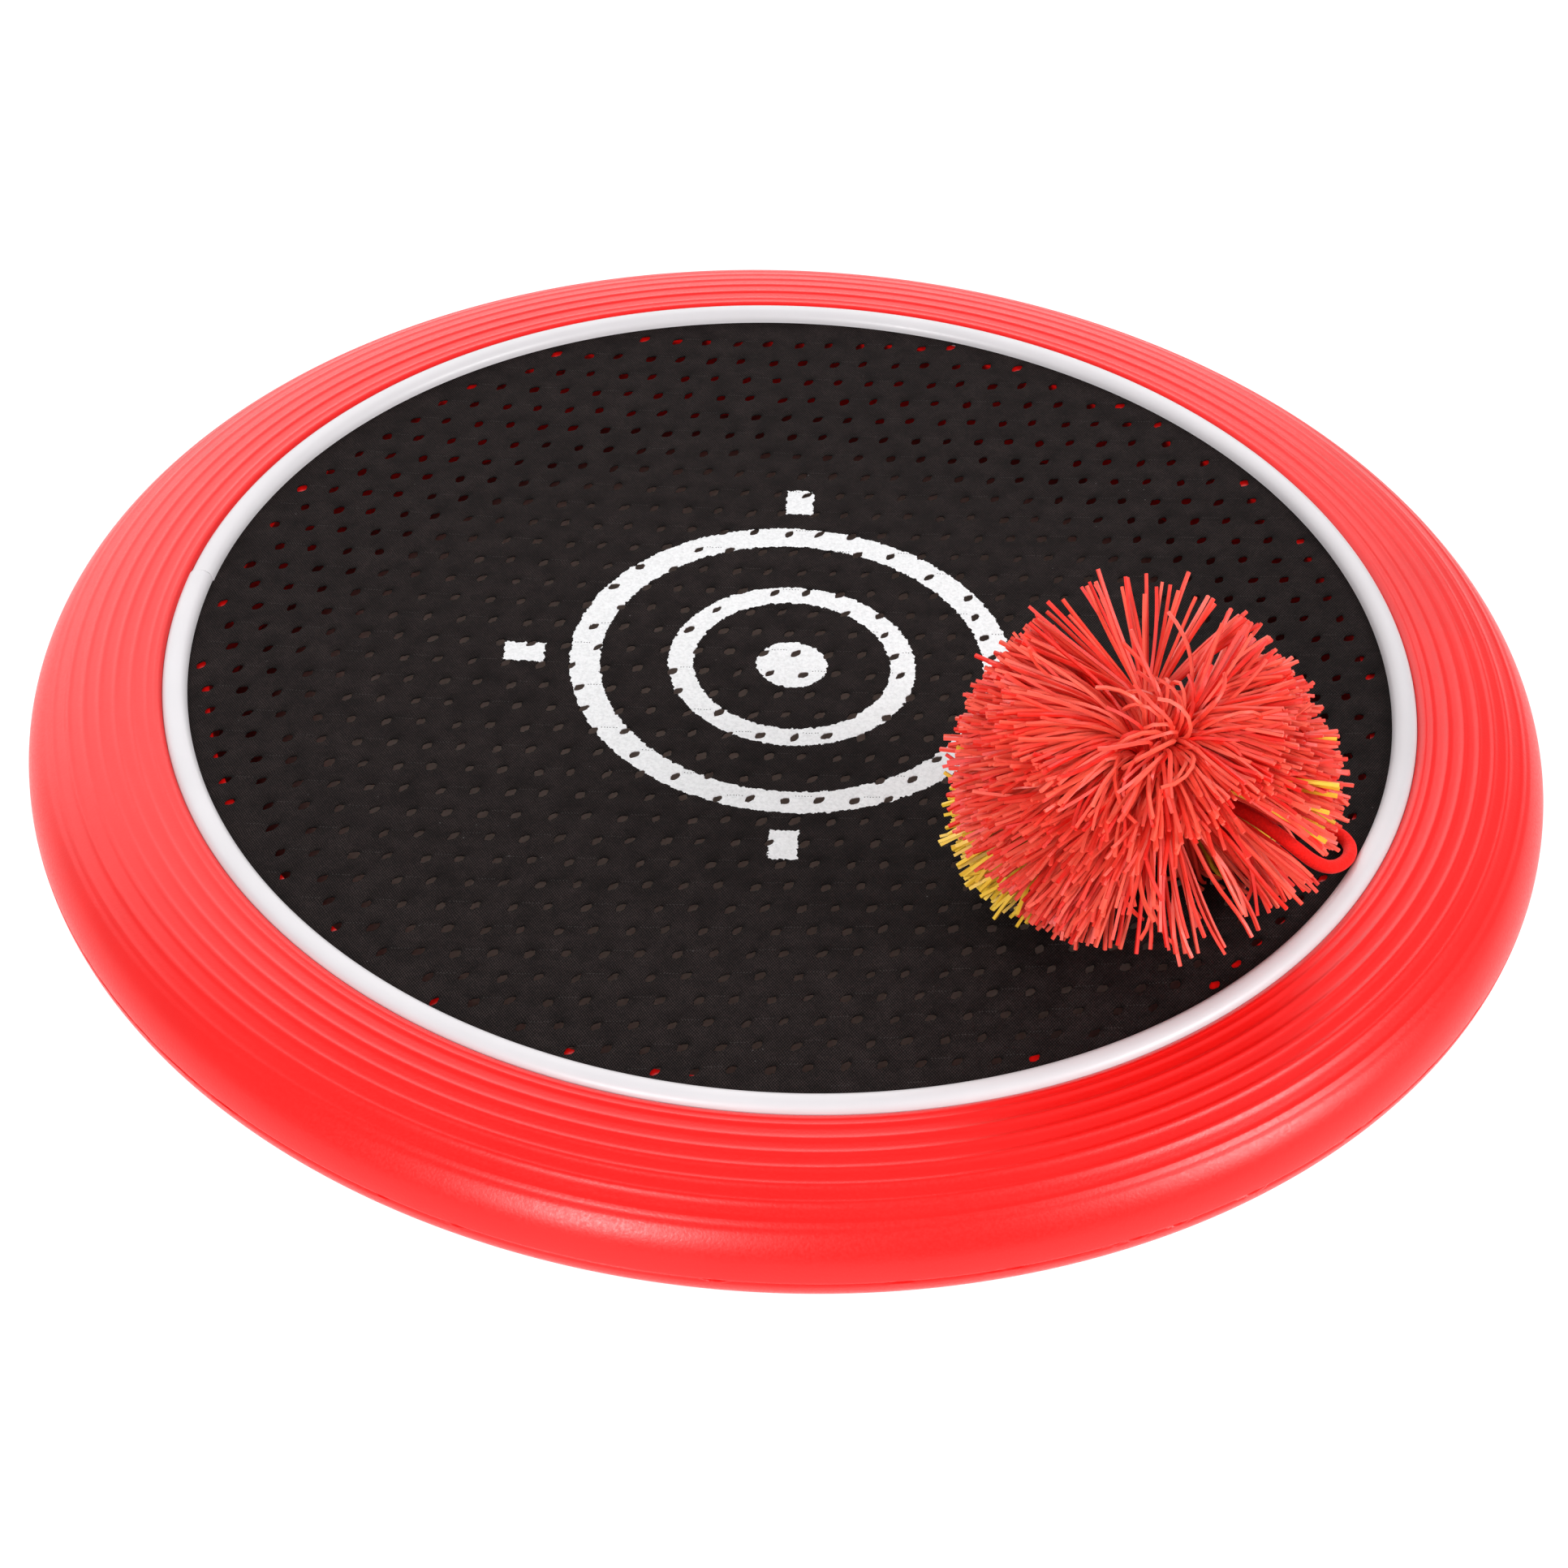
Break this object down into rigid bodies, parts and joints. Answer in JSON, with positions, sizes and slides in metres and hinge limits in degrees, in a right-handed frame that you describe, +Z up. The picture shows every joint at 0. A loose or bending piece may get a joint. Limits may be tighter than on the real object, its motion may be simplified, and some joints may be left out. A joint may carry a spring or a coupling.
{
  "type": "trampoline disc bat and string ball",
  "caption": "Round bat with a soft ridged rim, a clamp hoop and a stretched perforated mesh that bounces, with a tufted rubber string ball and its finger loop resting on it.",
  "frame": {"origin": "centre of the disc on the surface that its rim rests on", "axes": "+Z up out of the mesh, -Y towards the viewer of the picture, +X to the right, where the ball lies"},
  "size_m": [0.3, 0.3, 0.0848],
  "materials": {
    "rim_red": "satin, fine leather grain",
    "hoop_white": "gloss",
    "mesh_black": "matt knit",
    "strand_coral": "soft matt",
    "strand_yellow": "soft matt",
    "elastic_red": "matt braid",
    "pin_steel": "plain"
  },
  "bodies": {
    "disc": {"rim_upper_shell": "rim_red", "rim_lower_shell": "rim_red", "base_hoop": "hoop_white", "clamp_hoop": "hoop_white", "hoop_splice_pin": "pin_steel", "mesh_hem": "mesh_black"},
    "mesh": {"mesh_panel": "mesh_black"},
    "ball": {"core_tie": "elastic_red", "red_strands_crown": "strand_coral", "red_strands_left": "strand_coral", "red_strands_right": "strand_coral", "red_strands_front": "strand_coral", "red_strands_back": "strand_coral", "red_strands_base": "strand_coral", "yellow_strands_left": "strand_yellow", "yellow_strands_right": "strand_yellow", "loop_knot": "elastic_red", "finger_loop": "elastic_red"}
  },
  "joints": [
    {"name": "mesh_bounce", "type": "slide", "parent": "disc", "child": "mesh", "axis": [0, 0, 1], "range_m": [-0.015, 0], "stiffness_N_per_m": 600, "springref_m": 0.003},
    {"name": "ball_lift", "type": "slide", "parent": "disc", "child": "ball", "axis": [0, 0, 1], "range_m": [0, 0.25]}
  ]
}
